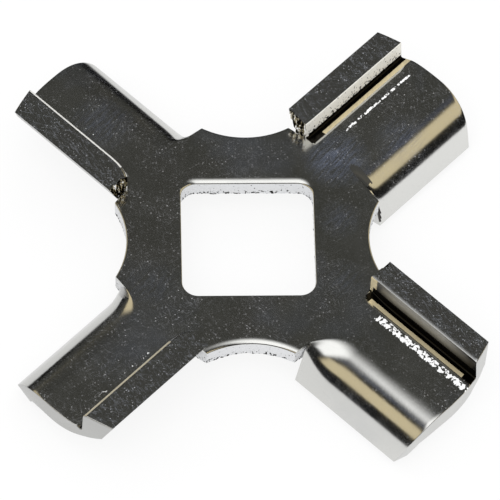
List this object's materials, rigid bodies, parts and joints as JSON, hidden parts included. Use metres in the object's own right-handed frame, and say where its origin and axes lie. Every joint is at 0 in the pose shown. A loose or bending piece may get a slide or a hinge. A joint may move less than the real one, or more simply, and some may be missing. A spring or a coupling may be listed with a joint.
{
  "type": "meat grinder knife",
  "caption": "Cross-shaped knife of a household meat grinder, pressed from steel sheet, with raised ground cutting lands, rolled-down flanges and a square drive hole.",
  "frame": {"origin": "on the axis of the square hole, in the plane of the lower flange edges that the knife stands on", "axes": "+Z along the axis of rotation, towards the cutting lands; the four arms lie at 45, 135, 225 and 315 degrees from +X, and the sides of the square hole are parallel to X and Y"},
  "size_m": [0.042, 0.042, 0.0073],
  "materials": {
    "polished_steel": "polished, with ground lands and sheared edges"
  },
  "bodies": {
    "root": {"grinder_knife": "polished_steel"}
  },
  "joints": []
}
